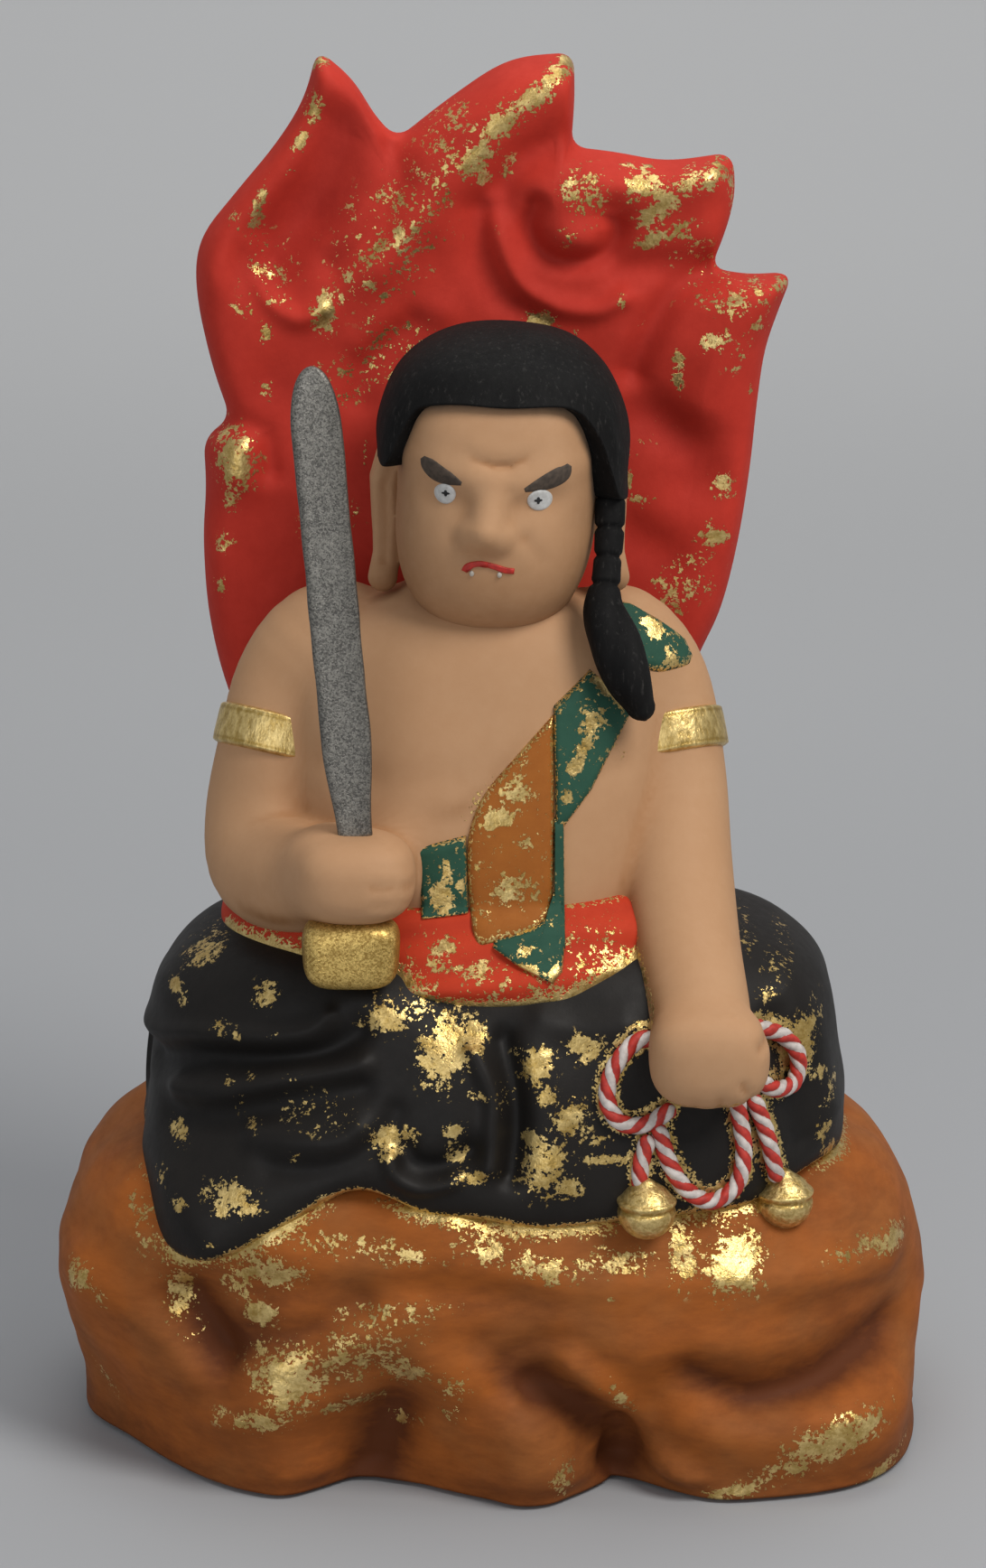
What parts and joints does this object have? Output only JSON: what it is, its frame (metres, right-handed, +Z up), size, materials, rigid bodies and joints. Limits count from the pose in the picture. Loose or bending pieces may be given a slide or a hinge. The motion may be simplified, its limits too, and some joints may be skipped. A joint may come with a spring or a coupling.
{
  "type": "guardian deity statue",
  "caption": "Seated wrathful guardian figure in painted clay on a hollow rock pedestal before a flame halo, with a lift-out sword and a modelled lasso.",
  "frame": {"origin": "middle of the outline box at the pedestal's underside", "axes": "+Z up, the figure faces -Y, its right hand with the sword is at -X"},
  "size_m": [0.157, 0.108, 0.2405],
  "materials": {
    "clay_flesh": "matt flesh paint on fired clay",
    "clay_black": "matt black paint with gold leaf flakes",
    "clay_red": "matt vermilion paint with gold leaf flakes",
    "clay_orange": "matt orange-brown paint with gold leaf flakes",
    "clay_green": "matt green paint with gold leaf flakes",
    "hair_black": "matt black paint, brushed",
    "gold_paint": "gold paint with glitter",
    "silver_paint": "silver paint with glitter",
    "rope_paint": "white paint with red diagonal stripes"
  },
  "bodies": {
    "statue": {"flame_halo": "clay_red", "hair_cap": "hair_black", "head": "clay_flesh", "lasso_hanging_loop": "rope_paint", "lasso_left_loop": "rope_paint", "lasso_left_tail": "rope_paint", "lasso_right_loop": "rope_paint", "lasso_right_tail": "rope_paint", "left_arm": "clay_flesh", "left_armlet": "gold_paint", "left_bell": "gold_paint", "left_ear": "clay_flesh", "left_hand": "clay_flesh", "right_arm": "clay_flesh", "right_armlet": "gold_paint", "right_bell": "gold_paint", "right_ear": "clay_flesh", "right_fist": "clay_flesh", "rock_base": "clay_orange", "sash_facing": "clay_green", "sash_panel": "clay_orange", "sash_shoulder": "clay_green", "sash_tail": "clay_green", "sash_tuck": "clay_green", "side_braid": "hair_black", "skirt": "clay_black", "sword_pommel": "gold_paint", "torso": "clay_flesh", "waist_sash": "clay_red"},
    "sword": {"sword_blade": "silver_paint"}
  },
  "joints": [
    {"name": "sword_lift", "type": "slide", "parent": "statue", "child": "sword", "axis": [-0.0836, 0.0349, 0.9959], "range_m": [0, 0.018]}
  ]
}
